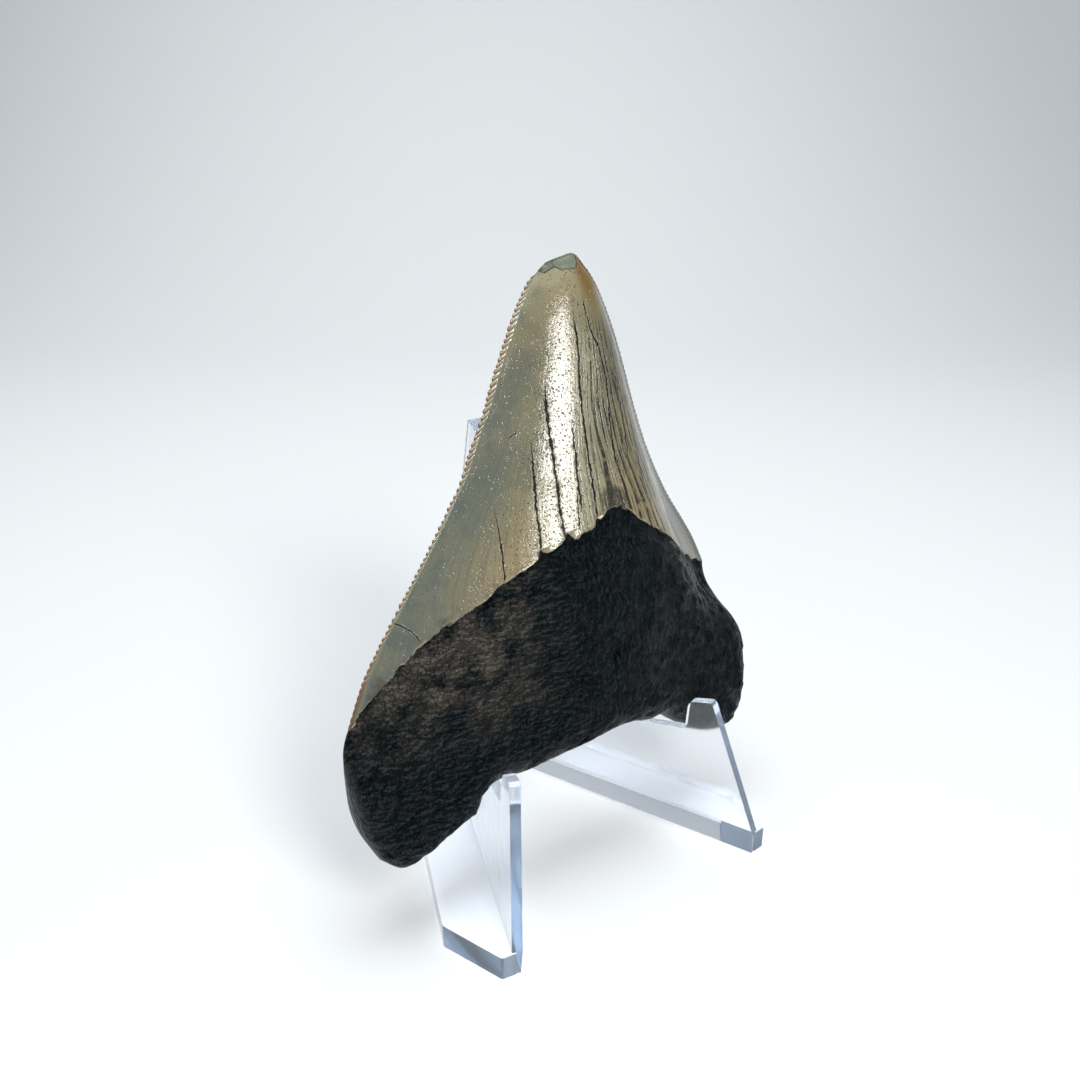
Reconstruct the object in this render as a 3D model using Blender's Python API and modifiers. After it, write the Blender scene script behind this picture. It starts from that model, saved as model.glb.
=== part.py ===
"""Megalodon tooth leaning in its clear moulded display stand.

Units are metres, +Z up. The object faces -Y, and +X is the viewer's right. The stand is a V in plan:
two thin webs that meet in a spine at the rear, each with a hook finger, a seat, a leaning rear edge and
a thick foot along the floor. The tooth's root lies on the two seats and its flat labial face leans back
on the webs. The origin is on the floor, at the middle of the bounding box.
"""
import math

import bmesh
import bpy
import numpy as np
from mathutils import Matrix, Vector, noise

MM = 0.001

# ---- placing ---------------------------------------------------------------------------------------
FRONT_Y = -27.46         # the feet's front in Y, so that the origin is at the middle of the box
FIT_GAP = 0.4            # clearance between the tooth's back and the stand

# ---- stand, mm -------------------------------------------------------------------------------------
HALF_GAP = 20.0          # half the distance between the webs' inner faces at the front, on the floor
HALF_ANGLE = 21.0        # each web's turn from the fore-and-aft line, degrees
INWARD_LEAN = 4.2        # each web leans in by this much as it rises, degrees
WEB = 1.4                # web thickness
FOOT_H = 3.3             # height of the foot along the floor
FOOT_OUT = 8.6           # how far the foot reaches out from the web's inner face
FOOT_NOSE = 2.5          # the same at the very front, before the chamfered corner
CHAMFER_S = 6.8          # where the chamfered corner ends, along the web
FINGER_TIP = (6.9, 23.3)     # along the web, height
FINGER_BACK = (10.5, 22.4)
FINGER_ROOT = (11.0, 17.7)
SEAT_FALL = 0.185        # the seat's fall towards the back, per unit along the web
SPINE_TOP = 58.6
SPINE_REAR_FLOOR = 51.7  # distance of the spine's rear face from the front, on the floor
SPINE_REAR_TOP = 39.6    # and at the top
SPINE_RIB = 1.9          # thickness of the rib that closes the V at the rear
FOOT_REAR = 55.0         # where the two feet end behind the spine

# ---- tooth, mm, in its own plane: u to the right, v up the labial face, w out towards the front ------
TOOTH_LEAN = 14.0        # lean back from vertical, degrees
TOOTH_FOOT = (24.0, 20.0)    # the labial plane's reference point: distance from the front, height
BLADE_W = 1.5            # the blade edges stand this far in front of the labial plane

LEFT_BLADE = [(-30.0, 6.1), (-26.4, 12.1), (-20.6, 19.0), (-15.1, 25.3), (-11.1, 30.2), (-8.2, 33.9),
              (-5.9, 38.0), (-3.4, 41.9), (-1.2, 46.2), (1.4, 50.6), (3.9, 54.8), (6.7, 58.4), (9.4, 60.3)]
RIGHT_BLADE = [(31.9, 13.6), (30.5, 17.6), (28.8, 21.0), (26.2, 25.9), (23.8, 32.3), (22.3, 38.6),
               (21.3, 44.6), (20.2, 50.4), (18.5, 56.2), (17.2, 58.9), (16.0, 60.7)]
TIP = [(9.4, 60.3), (10.2, 61.0), (11.4, 61.35), (12.9, 61.65), (14.3, 61.9), (15.3, 61.55), (16.0, 60.7)]
LEFT_ROOT = [(-30.9, -9.6), (-32.5, -5.6), (-32.8, -1.0), (-32.0, 3.0), (-30.0, 6.1)]
RIGHT_ROOT = [(29.8, -8.3), (31.7, -4.6), (32.7, 0.2), (32.7, 4.4), (31.7, 8.4), (31.3, 11.2), (31.9, 13.6)]
BASE = [(-30.9, -9.6), (-28.4, -11.5), (-24.6, -10.5), (-20.4, -8.6), (-18.0, -7.5), (-16.5, -5.5),
        (-14.4, -4.8), (-12.0, -4.9), (-9.0, -5.2), (-4.0, -4.9), (2.0, -4.3), (8.0, -3.9), (11.6, -4.7),
        (15.2, -4.9), (18.6, -7.4), (23.0, -9.7), (27.2, -10.4), (29.8, -8.3)]
CHEVRON = [(-30.0, 6.1), (-27.4, 8.3), (-24.4, 10.9), (-21.4, 13.2), (-17.9, 15.5), (-14.5, 17.2),
           (-10.9, 18.8), (-8.0, 20.4), (-3.4, 22.6), (0.4, 24.0), (3.8, 24.9), (6.9, 26.2), (9.9, 28.6),
           (12.2, 25.9), (16.5, 22.4), (18.9, 21.1), (22.9, 18.1), (27.5, 15.6), (31.9, 13.6)]
LABIAL_LINE = [(-30.0, 6.1), (-22.0, 8.6), (-12.0, 12.4), (-2.0, 15.0), (6.0, 16.0), (14.0, 15.6),
               (23.0, 14.0), (31.9, 13.6)]
CREST = 0.241            # the dome's height as a share of the crown's width at the same level
SECTION_AT = (0, 0.05, 0.1, 0.16, 0.22, 0.26, 0.3, 0.34, 0.38, 0.42, 0.46, 0.52, 0.6, 0.66, 0.72, 0.78, 0.845, 0.92, 1)
SECTION = (0, 0.096, 0.216, 0.372, 0.531, 0.634, 0.72, 0.793, 0.856, 0.907, 0.946, 0.979, 0.998, 1, 0.98, 0.89, 0.7,
           0.37, 0)
SECTION_LOW = SECTION[:13] + (0.99, 0.93, 0.8, 0.56, 0.22, 0)
HOLLOW_V = 34.0          # the second section is reached halfway down from this height
SERRATION_H = 0.34       # how far a serration stands out from the left blade; half as far from the right

COLS = 38                # faces across the tooth
ROOT_ROWS = 14
CROWN_ROWS = 37          # each but the last has two serrations on each blade, 72 in all


def world(y, z):
    """A point's Y and Z in metres, from its distance behind the feet's front and its height in mm."""
    return (y + FRONT_Y) * MM, z * MM


def new_material(name, colour, roughness, transmission=0.0, ior=1.5):
    """A Principled material."""
    mat = bpy.data.materials.new(name)
    mat.use_nodes = True
    shader = mat.node_tree.nodes["Principled BSDF"]
    shader.inputs["Base Color"].default_value = (*colour, 1.0)
    shader.inputs["Roughness"].default_value = roughness
    shader.inputs["Metallic"].default_value = 0.0
    shader.inputs["Transmission Weight"].default_value = transmission
    shader.inputs["IOR"].default_value = ior
    mat.diffuse_color = (*colour, 1.0)
    return mat


def add_object(name, mesh, collection):
    """Link a mesh as a named object."""
    obj = bpy.data.objects.new(name, mesh)
    collection.objects.link(obj)
    return obj


def plate(name, outline, thickness, collection, rounded=()):
    """A flat outline in XY, given in mm, as a closed plate about Z = 0.

    Corners whose index is in rounded become short arcs.
    """
    points = []
    for index, corner in enumerate(outline):
        radius = dict(rounded).get(index, 0.0)
        if radius == 0.0:
            points.append(corner)
            continue
        here = Vector(corner)
        before = (Vector(outline[index - 1]) - here).normalized()
        after = (Vector(outline[(index + 1) % len(outline)]) - here).normalized()
        half = before.angle(after) / 2
        reach = radius / math.tan(half)
        centre = here + (before + after).normalized() * radius / math.sin(half)
        start = here + before * reach - centre
        end = here + after * reach - centre
        turn = start.angle_signed(end)
        for step in range(5):
            arm = start.copy()
            arm.rotate(Matrix.Rotation(-turn * step / 4, 2))
            points.append(tuple(centre + arm))
    curve = bpy.data.curves.new(name, "CURVE")
    curve.dimensions = "2D"
    curve.fill_mode = "BOTH"
    curve.extrude = thickness / 2 * MM
    spline = curve.splines.new("POLY")
    spline.points.add(len(points) - 1)
    for item, (x, y) in zip(spline.points, points):
        item.co = (x * MM, y * MM, 0.0, 1.0)
    spline.use_cyclic_u = True
    source = bpy.data.objects.new(name, curve)
    collection.objects.link(source)
    depsgraph = bpy.context.evaluated_depsgraph_get()
    mesh = bpy.data.meshes.new_from_object(source.evaluated_get(depsgraph))
    bpy.data.objects.remove(source)
    bpy.data.curves.remove(curve)
    shape = bmesh.new()
    shape.from_mesh(mesh)
    bmesh.ops.remove_doubles(shape, verts=shape.verts, dist=1e-6)
    bmesh.ops.recalc_face_normals(shape, faces=shape.faces)
    shape.to_mesh(mesh)
    shape.free()
    return add_object(name, mesh, collection)


def apply_transform(obj, matrix):
    """Move an object's mesh by a matrix."""
    obj.data.transform(matrix)
    obj.data.update()


def boolean(obj, other, operation):
    """Apply an exact Boolean and remove the other object."""
    modifier = obj.modifiers.new(operation.title(), "BOOLEAN")
    modifier.operation = operation
    modifier.solver = "EXACT"
    modifier.object = other
    bake(obj)
    bpy.data.objects.remove(other)


def open_at_middle(obj):
    """Take away the faces that lie in the plane X = 0, so that a Mirror closes the shape."""
    shape = bmesh.new()
    shape.from_mesh(obj.data)
    flat = [face for face in shape.faces if all(abs(vert.co.x) < 2e-6 for vert in face.verts)]
    bmesh.ops.delete(shape, geom=flat, context="FACES")
    for vert in shape.verts:
        if abs(vert.co.x) < 2e-6:
            vert.co.x = 0.0
    shape.to_mesh(obj.data)
    shape.free()


def bake(obj):
    """Apply every modifier of an object to its mesh."""
    depsgraph = bpy.context.evaluated_depsgraph_get()
    mesh = bpy.data.meshes.new_from_object(obj.evaluated_get(depsgraph))
    old = obj.data
    obj.modifiers.clear()
    obj.data = mesh
    mesh.name = old.name
    bpy.data.meshes.remove(old)


# ---- the stand -------------------------------------------------------------------------------------
def seat_height(along):
    """Height of the seat at a distance along the web."""
    return FINGER_ROOT[1] - SEAT_FALL * (along - FINGER_ROOT[0])


def lean_edge_along(height):
    """How far along the web its leaning rear edge lies at a height, a little behind the labial plane."""
    foot_y, foot_z = TOOTH_FOOT
    plane_y = foot_y + (height - foot_z) * math.tan(math.radians(TOOTH_LEAN)) + FIT_GAP
    shift = -height * math.tan(math.radians(INWARD_LEAN)) * math.sin(math.radians(HALF_ANGLE))
    return (plane_y - shift) / math.cos(math.radians(HALF_ANGLE))


def web_matrix():
    """From a web's own plane (X along it, Y up it, Z out through its thickness) to its place."""
    angle = math.radians(HALF_ANGLE)
    lean = math.radians(INWARD_LEAN)
    along = Vector((-math.sin(angle), math.cos(angle), 0.0))
    outward = Vector((math.cos(angle), math.sin(angle), 0.0))
    up = Vector((0.0, 0.0, 1.0)) - outward * math.tan(lean)
    matrix = Matrix.Identity(4)
    for row in range(3):
        matrix[row][0] = along[row]
        matrix[row][1] = up[row]
        matrix[row][2] = outward[row]
    matrix.translation = (HALF_GAP * MM, FRONT_Y * MM, 0.0)
    return matrix


def make_stand(collection):
    """One half of the V, cut at the middle plane and mirrored."""
    seat_end = lean_edge_along(15.0)
    for _ in range(4):
        seat_end = lean_edge_along(seat_height(seat_end))
    top_front = lean_edge_along(SPINE_TOP)
    reach = HALF_GAP / math.sin(math.radians(HALF_ANGLE)) + 12.0
    web_outline = [(0.0, 0.0), (reach, 0.0), (reach, SPINE_TOP), (top_front, SPINE_TOP),
                   (seat_end, seat_height(seat_end)), FINGER_ROOT, FINGER_BACK, FINGER_TIP, (0.0, FOOT_H)]
    rounding = [(3, 1.2), (4, 1.2), (5, 0.8), (6, 1.2), (7, 0.7), (8, 0.8)]
    half = plate("display_stand", web_outline, WEB, collection, rounding)
    apply_transform(half, web_matrix() @ Matrix.Translation((0.0, 0.0, WEB / 2 * MM)))

    side_on = Matrix(((0.0, 0.0, 1.0, 0.0), (1.0, 0.0, 0.0, FRONT_Y * MM),
                      (0.0, 1.0, 0.0, 0.0), (0.0, 0.0, 0.0, 1.0)))
    rib_outline = [(SPINE_REAR_FLOOR - SPINE_RIB, 0.0), (SPINE_REAR_FLOOR + 0.6, 0.0),
                   (SPINE_REAR_TOP + 0.6, SPINE_TOP), (SPINE_REAR_TOP - SPINE_RIB, SPINE_TOP)]
    rib = plate("rib", rib_outline, 2.4, collection)
    apply_transform(rib, side_on)
    boolean(half, rib, "UNION")

    drop = (SPINE_REAR_FLOOR - SPINE_REAR_TOP) / SPINE_TOP * 5.0
    behind = [(SPINE_REAR_FLOOR + drop, -5.0), (150.0, -5.0), (150.0, SPINE_TOP + 5.0),
              (SPINE_REAR_TOP - drop, SPINE_TOP + 5.0)]
    rear_cutter = plate("rear_cutter", behind, 120.0, collection)
    apply_transform(rear_cutter, side_on)
    boolean(half, rear_cutter, "DIFFERENCE")

    nose_back = FOOT_NOSE * math.tan(math.radians(HALF_ANGLE)) * 0.65
    foot_outline = [(-nose_back * 0.2, 0.6), (reach + 30.0, 0.6), (reach + 30.0, FOOT_OUT - 1.2),
                    (CHAMFER_S, FOOT_OUT), (-nose_back, FOOT_NOSE)]
    foot = plate("foot", foot_outline, FOOT_H, collection, [(3, 1.0), (4, 0.5)])
    angle = math.radians(HALF_ANGLE)
    turned = Matrix(((-math.sin(angle), math.cos(angle), 0.0, HALF_GAP * MM),
                     (math.cos(angle), math.sin(angle), 0.0, FRONT_Y * MM),
                     (0.0, 0.0, 1.0, FOOT_H / 2 * MM),
                     (0.0, 0.0, 0.0, 1.0)))
    apply_transform(foot, turned)
    foot.data.flip_normals()
    boolean(half, foot, "UNION")
    heel_outline = [(-2.0, SPINE_REAR_FLOOR - 4.0 + FRONT_Y), (2.4, SPINE_REAR_FLOOR - 4.0 + FRONT_Y),
                    (2.4, FOOT_REAR + 3.0 + FRONT_Y), (-2.0, FOOT_REAR + 3.0 + FRONT_Y)]
    heel = plate("heel", heel_outline, FOOT_H, collection)
    apply_transform(heel, Matrix.Translation((0.0, 0.0, FOOT_H / 2 * MM)))
    boolean(half, heel, "UNION")
    past_foot = [(FOOT_REAR, -5.0), (150.0, -5.0), (150.0, 20.0), (FOOT_REAR, 20.0)]
    foot_cutter = plate("foot_cutter", past_foot, 120.0, collection)
    apply_transform(foot_cutter, side_on)
    boolean(half, foot_cutter, "DIFFERENCE")

    other_side = plate("other_side", [(-60.0, -60.0), (0.0, -60.0), (0.0, 60.0), (-60.0, 60.0)],
                       200.0, collection)
    boolean(half, other_side, "DIFFERENCE")
    open_at_middle(half)
    mirror = half.modifiers.new("Mirror", "MIRROR")
    mirror.use_axis[0] = True
    mirror.merge_threshold = 0.00002
    bake(half)
    half.data.materials.clear()
    half.data.materials.append(new_material("clear_plastic", (0.9, 0.94, 0.98), 0.05, 1.0, 1.49))
    return half


# ---- the tooth -------------------------------------------------------------------------------------
def smooth_curve(points, count):
    """Points along a smooth curve through the given ones, evenly spaced by length."""
    pts = [np.array(p, float) for p in points]
    padded = [2 * pts[0] - pts[1]] + pts + [2 * pts[-1] - pts[-2]]
    dense = []
    for index in range(1, len(padded) - 2):
        a, b, c, d = padded[index - 1:index + 3]
        for step in range(24):
            t = step / 24
            dense.append(0.5 * (2 * b + (c - a) * t + (2 * a - 5 * b + 4 * c - d) * t * t
                                + (3 * b - a - 3 * c + d) * t ** 3))
    dense.append(pts[-1])
    dense = np.array(dense)
    length = np.concatenate([[0.0], np.cumsum(np.linalg.norm(np.diff(dense, axis=0), axis=1))])
    wanted = length[-1] * np.asarray(count)
    return np.stack([np.interp(wanted, length, dense[:, 0]), np.interp(wanted, length, dense[:, 1])], 1)


def coons(bottom, top, left, right, across, up):
    """A grid of plane points between four boundary curves."""
    s = across[None, :, None]
    r = up[:, None, None]
    ruled_up = (1 - r) * bottom[None] + r * top[None]
    ruled_across = (1 - s) * left[:, None] + s * right[:, None]
    corners = ((1 - s) * (1 - r) * bottom[0] + s * (1 - r) * bottom[-1]
               + (1 - s) * r * top[0] + s * r * top[-1])
    return ruled_up + ruled_across - corners


def smoothstep(x):
    """A smooth 0 to 1 ramp."""
    x = np.clip(x, 0.0, 1.0)
    return x * x * (3 - 2 * x)


def distance_to(points, line):
    """Each point's distance to a polyline."""
    best = np.full(points.shape[:-1], 1e9)
    for a, b in zip(line[:-1], line[1:]):
        edge = b - a
        if edge @ edge == 0:
            continue
        t = np.clip(((points - a) @ edge) / (edge @ edge), 0.0, 1.0)
        best = np.minimum(best, np.linalg.norm(points - a - t[..., None] * edge, axis=-1))
    return best


def tooth_grids(cols, root_rows, crown_rows):
    """The front and back faces as two grids of (u, v, w) points that share their rim."""
    even = np.linspace(0, 1, cols + 1)
    across = 0.35 * even + 0.65 * (1 - np.cos(np.pi * even)) / 2
    root_even = np.linspace(0, 1, root_rows + 1)
    root_up = 0.45 * root_even + 0.55 * (1 - np.cos(np.pi * root_even / 1.25)) / (1 - math.cos(np.pi / 1.25))
    crown_up = np.linspace(0, 1, crown_rows + 1)
    base = smooth_curve(BASE, across)
    left_root = smooth_curve(LEFT_ROOT, root_up)
    right_root = smooth_curve(RIGHT_ROOT, root_up)
    left_blade = smooth_curve(LEFT_BLADE, crown_up)
    right_blade = smooth_curve(RIGHT_BLADE, crown_up)
    tip = smooth_curve(TIP, across)
    rim = np.vstack([smooth_curve(LEFT_ROOT[::-1], np.linspace(0, 1, 30)),
                     smooth_curve(BASE, np.linspace(0, 1, 60)),
                     smooth_curve(RIGHT_ROOT, np.linspace(0, 1, 30))])
    grids = []
    for side, line in (("front", CHEVRON), ("back", LABIAL_LINE)):
        edge = smooth_curve(line, across)
        root = coons(base, edge, left_root, right_root, across, root_up)
        crown = coons(edge, tip, left_blade, right_blade, across, crown_up)
        plane = np.concatenate([root, crown[1:]])
        rise = np.concatenate([np.zeros(root_rows), crown_up])
        height = crown_height(side, across, plane, rise)
        deep = distance_to(plane, rim)
        below = np.zeros(len(plane))
        below[:root_rows + 1] = 1 - root_up
        blend = smoothstep(below / 0.55)[:, None]
        thick = root_height(side, plane, deep)
        w = height * (1 - blend) + thick * blend
        w[:, 0] = w[:, -1] = 0
        w[0] = 0
        rim_w = rim_height(below)[:, None]
        grids.append(np.concatenate([plane, (w + rim_w)[..., None]], axis=2))
    return grids, across


def rim_height(below):
    """How far the rim stands in front of the labial plane: thin at the blade, deeper round the root."""
    return BLADE_W + 4.0 * smoothstep(below / 0.5) + 1.0 * smoothstep((below - 0.5) / 0.5)


def crown_height(side, across, plane, rise):
    """The crown's swell above the rim: a leaning dome in front, nearly flat behind.

    In front, every level has the same section, which rises gently from the left blade to a crest, rolls
    over and falls steeply to the right blade, with a hollow beside that blade near the root. It is rounded
    off at the tip.
    """
    if side == "back":
        b = 2 * across[None, :] - 1
        return -BLADE_W * (1 - b ** 2) * (1 - 0.5 * rise[:, None])
    u = plane[..., 0]
    v = plane[..., 1]
    left, right = (smooth_curve(blade, np.linspace(0, 1, 200)) for blade in (LEFT_BLADE, RIGHT_BLADE))
    left_u = np.interp(v, left[:, 1], left[:, 0])
    width = np.interp(v, right[:, 1], right[:, 0]) - left_u
    share = np.clip((u - left_u) / width, 0, 1)
    section = np.interp(share, SECTION_AT, SECTION)
    hollow = np.interp(share, SECTION_AT, SECTION_LOW)
    low = smoothstep((HOLLOW_V - v) / HOLLOW_V * 2)
    nose = 1 - np.clip(distance_to(plane, smooth_curve(TIP, np.linspace(0, 1, 20))) / 3.0, 0, 1)
    return CREST * width * (section * (1 - low) + hollow * low) * np.sqrt(1 - nose ** 2)


def root_height(side, plane, deep):
    """The root's depth from its rim: rounded all round, with a swelling in the middle of the front."""
    u = plane[..., 0]
    v = plane[..., 1]
    if side == "back":
        roll = np.sqrt(np.clip(1 - (1 - np.clip(deep / 4.5, 0, 1)) ** 2, 0, 1))
        return -(5.8 + 0.15 * np.sin(u * 0.21)) * roll
    roll = np.sqrt(np.clip(1 - (1 - np.clip(deep / 4.0, 0, 1)) ** 2, 0, 1))
    swell = 3.6 * np.exp(-((u - 7.0) / 11.5) ** 2 - ((v - 9.0) / 13.0) ** 2)
    lobes = 4.9 + 0.9 * np.exp(-((u + 20) / 9.0) ** 2) + 0.05 * (v + 5)
    corner = 0.9 * np.exp(-((u + 18) / 6.0) ** 2 - ((v + 5) / 4.0) ** 2)
    return (lobes + swell + corner) * roll


def roughen(point, amount):
    """A root surface's lumps, as a height."""
    where = Vector(point)
    coarse = noise.noise(where * 0.22)
    fine = noise.noise(where * 0.55 + Vector((7.0, 3.0, 1.0)))
    return amount * (coarse + 0.6 * fine)


def build_tooth_mesh(name):
    """Join the two faces at the rim, with the serrations set into both blades."""
    (front, back), across = tooth_grids(COLS, ROOT_ROWS, CROWN_ROWS)
    rows = front.shape[0]
    shape = bmesh.new()
    foot_y, foot_z = TOOTH_FOOT
    lean = math.radians(TOOTH_LEAN)

    def place(u, v, w):
        y = foot_y + v * math.sin(lean) - w * math.cos(lean)
        z = foot_z + v * math.cos(lean) + w * math.sin(lean)
        return shape.verts.new((u * MM, *world(y, z)))

    def on_rim(row, col):
        return row == 0 or row == rows - 1 or col == 0 or col == COLS

    front_verts = {}
    back_verts = {}
    for row in range(rows):
        for col in range(COLS + 1):
            for grid, verts, lump in ((front, front_verts, 0.45), (back, back_verts, 0.2)):
                u, v, w = grid[row, col]
                if on_rim(row, col) and grid is back:
                    verts[row, col] = front_verts[row, col]
                    continue
                if row < ROOT_ROWS and not on_rim(row, col):
                    fade = min(1.0, (ROOT_ROWS - row) / 3)
                    w += roughen((u, v, w), lump) * fade * (1 if grid is front else -1)
                    if grid is front:
                        w -= 0.45 * (1 if row == ROOT_ROWS - 1 else 0.4)
                verts[row, col] = place(u, v, w)

    tips = {}
    for row in range(ROOT_ROWS, rows - 2):
        for end, facing, share in ((0, 1, 1.0), (COLS, -1, 0.5)):
            low = front[row, end]
            run = front[row + 1, end] - low
            outward = facing * np.array([-run[1], run[0], 0.0]) / np.linalg.norm(run)
            size = share * SERRATION_H * min(1.0, 0.35 + (row - ROOT_ROWS) / 12)
            tips[row, end] = [place(*(low + run * along + outward * size * out))
                              for along, out in ((0.16, 1), (0.34, 1), (0.5, 0), (0.66, 1), (0.84, 1))]

    for row in range(rows - 1):
        for col in range(COLS):
            ring = [(row, col), (row, col + 1), (row + 1, col + 1), (row + 1, col)]
            for verts in (front_verts, back_verts):
                end = 0 if col == 0 else col + 1
                if (row, end) in tips:
                    chain = [verts[row, end]] + tips[row, end] + [verts[row + 1, end]]
                    inside = 1 if col == 0 else col
                    low = verts[row, inside]
                    high = verts[row + 1, inside]
                    for a, b in zip(chain[:3], chain[1:4]):
                        shape.faces.new((low, b, a))
                    shape.faces.new((low, high, chain[3]))
                    for a, b in zip(chain[3:-1], chain[4:]):
                        shape.faces.new((high, b, a))
                    continue
                inner = [key for key in ring if not on_rim(*key)]
                if len(inner) == 1:
                    start = ring.index(inner[0])
                    keys = ring[start:] + ring[:start]
                    shape.faces.new([verts[key] for key in keys[:3]])
                    shape.faces.new([verts[keys[0]], verts[keys[2]], verts[keys[3]]])
                else:
                    shape.faces.new([verts[key] for key in ring])
    bmesh.ops.triangulate(shape, faces=shape.faces)
    bmesh.ops.recalc_face_normals(shape, faces=shape.faces)
    mesh = bpy.data.meshes.new(name)
    shape.to_mesh(mesh)
    shape.free()
    return mesh


def make_tooth(collection):
    """The fossil tooth, crown and root in one piece."""
    tooth = add_object("megalodon_tooth", build_tooth_mesh("megalodon_tooth"), collection)
    tooth.data.materials.append(new_material("fossil_tooth", (0.16, 0.14, 0.1), 0.4))
    return tooth


def main():
    """Clear the scene and build the two pieces."""
    for obj in list(bpy.data.objects):
        bpy.data.objects.remove(obj)
    collection = bpy.data.collections.new("megalodon_tooth_in_display_stand")
    bpy.context.scene.collection.children.link(collection)
    make_stand(collection)
    make_tooth(collection)


main()
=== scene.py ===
"""Looks of the megalodon tooth in its clear stand: fine meshes, node materials, light and camera.

The tooth is built from the same outlines and heights as its CAD solid, in millimetres in the tooth's own
plane: u to the right, v up the labial face, w out towards the front.
"""
import math
import random
from types import SimpleNamespace

import bmesh
import bpy
import numpy as np
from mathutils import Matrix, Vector, noise


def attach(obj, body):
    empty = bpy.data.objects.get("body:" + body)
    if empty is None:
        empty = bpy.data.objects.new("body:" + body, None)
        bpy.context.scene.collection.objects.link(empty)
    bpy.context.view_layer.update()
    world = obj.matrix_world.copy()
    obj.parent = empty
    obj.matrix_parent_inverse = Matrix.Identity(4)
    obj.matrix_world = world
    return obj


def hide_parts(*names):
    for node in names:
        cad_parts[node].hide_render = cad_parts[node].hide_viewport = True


MM = 0.001
random.seed(11)

# ---- camera and light, mm and degrees --------------------------------------------------------------
CAMERA_AT = (-78.9, -115.3, 101.8)
CAMERA_TARGET = (62.96, 86.42, 0.0)
CAMERA_LENS = 36.63
SENSOR = 36.0
# name, azimuth from the front towards +X, elevation, distance, size, power in watts, colour
LIGHTS = [
    ("key_softbox", -4.0, 37.5, 620.0, (215.0, 210.0), 2.5, (1.0, 0.985, 0.96)),
    ("overhead_tent", 176.0, 88.0, 640.0, (600.0, 480.0), 3.5, (0.95, 0.985, 1.0)),
    ("right_panel", 100.0, 12.0, 700.0, (420.0, 420.0), 0.15, (0.95, 0.98, 1.0)),
]
WORLD_COLOUR = (0.80, 0.88, 0.95)
WORLD_STRENGTH = 0.22
FLOOR_COLOUR = (0.86, 0.87, 0.875)
FLOOR_GAP = 0.25             # air under the feet, without which the floor below the clear plastic is black
FLOOR_PAINTED_SHADE = (0.57, 0.58, 0.60)          # painted shade: how far the sweep's colour darkens away from the painted pool of light
# painted light: the sweep's own glow, which lightens the shadows on it
FLOOR_PAINTED_GLOW = 0.20
PAINTED_POOL_SHIFT = 0.06            # the painted pool of light's middle and reach on the sweep, metres
PAINTED_POOL_REACH = (0.36, 0.40)
SWEEP_FRONT, SWEEP_BACK, SWEEP_RADIUS, SWEEP_TOP, SWEEP_HALF = -900.0, 620.0, 320.0, 1300.0, 1500.0
SWEEP_TURN = -35.0
LIGHTS_AIM_Z = 30.0
BOUNCES = 64                 # light runs a long way inside the stand's thin webs

# ---- the tooth's outline and heights, mm, as in its solid --------------------------------------------
FRONT_Y = -27.46
TOOTH_LEAN = 14.0
TOOTH_FOOT = (24.0, 20.0)
BLADE_W = 1.5
LEFT_BLADE = [(-30.0, 6.1), (-26.4, 12.1), (-20.6, 19.0), (-15.1, 25.3), (-11.1, 30.2), (-8.2, 33.9),
              (-5.9, 38.0), (-3.4, 41.9), (-1.2, 46.2), (1.4, 50.6), (3.9, 54.8), (6.7, 58.4), (9.4, 60.3)]
RIGHT_BLADE = [(31.9, 13.6), (30.5, 17.6), (28.8, 21.0), (26.2, 25.9), (23.8, 32.3), (22.3, 38.6),
               (21.3, 44.6), (20.2, 50.4), (18.5, 56.2), (17.2, 58.9), (16.0, 60.7)]
TIP = [(9.4, 60.3), (10.2, 61.0), (11.4, 61.35), (12.9, 61.65), (14.3, 61.9), (15.3, 61.55), (16.0, 60.7)]
LEFT_ROOT = [(-30.9, -9.6), (-32.5, -5.6), (-32.8, -1.0), (-32.0, 3.0), (-30.0, 6.1)]
RIGHT_ROOT = [(29.8, -8.3), (31.7, -4.6), (32.7, 0.2), (32.7, 4.4), (31.7, 8.4), (31.3, 11.2), (31.9, 13.6)]
BASE = [(-30.9, -9.6), (-28.4, -11.5), (-24.6, -10.5), (-20.4, -8.6), (-18.0, -7.5), (-16.5, -5.5),
        (-14.4, -4.8), (-12.0, -4.9), (-9.0, -5.2), (-4.0, -4.9), (2.0, -4.3), (8.0, -3.9), (11.6, -4.7),
        (15.2, -4.9), (18.6, -7.4), (23.0, -9.7), (27.2, -10.4), (29.8, -8.3)]
CHEVRON = [(-30.0, 6.1), (-27.4, 8.3), (-24.4, 10.9), (-21.4, 13.2), (-17.9, 15.5), (-14.5, 17.2),
           (-10.9, 18.8), (-8.0, 20.4), (-3.4, 22.6), (0.4, 24.0), (3.8, 24.9), (6.9, 26.2), (9.9, 28.6),
           (12.2, 25.9), (16.5, 22.4), (18.9, 21.1), (22.9, 18.1), (27.5, 15.6), (31.9, 13.6)]
LABIAL_LINE = [(-30.0, 6.1), (-22.0, 8.6), (-12.0, 12.4), (-2.0, 15.0), (6.0, 16.0), (14.0, 15.6),
               (23.0, 14.0), (31.9, 13.6)]
CREST = 0.241                # the dome's height as a share of the crown's width at the same level
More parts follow.
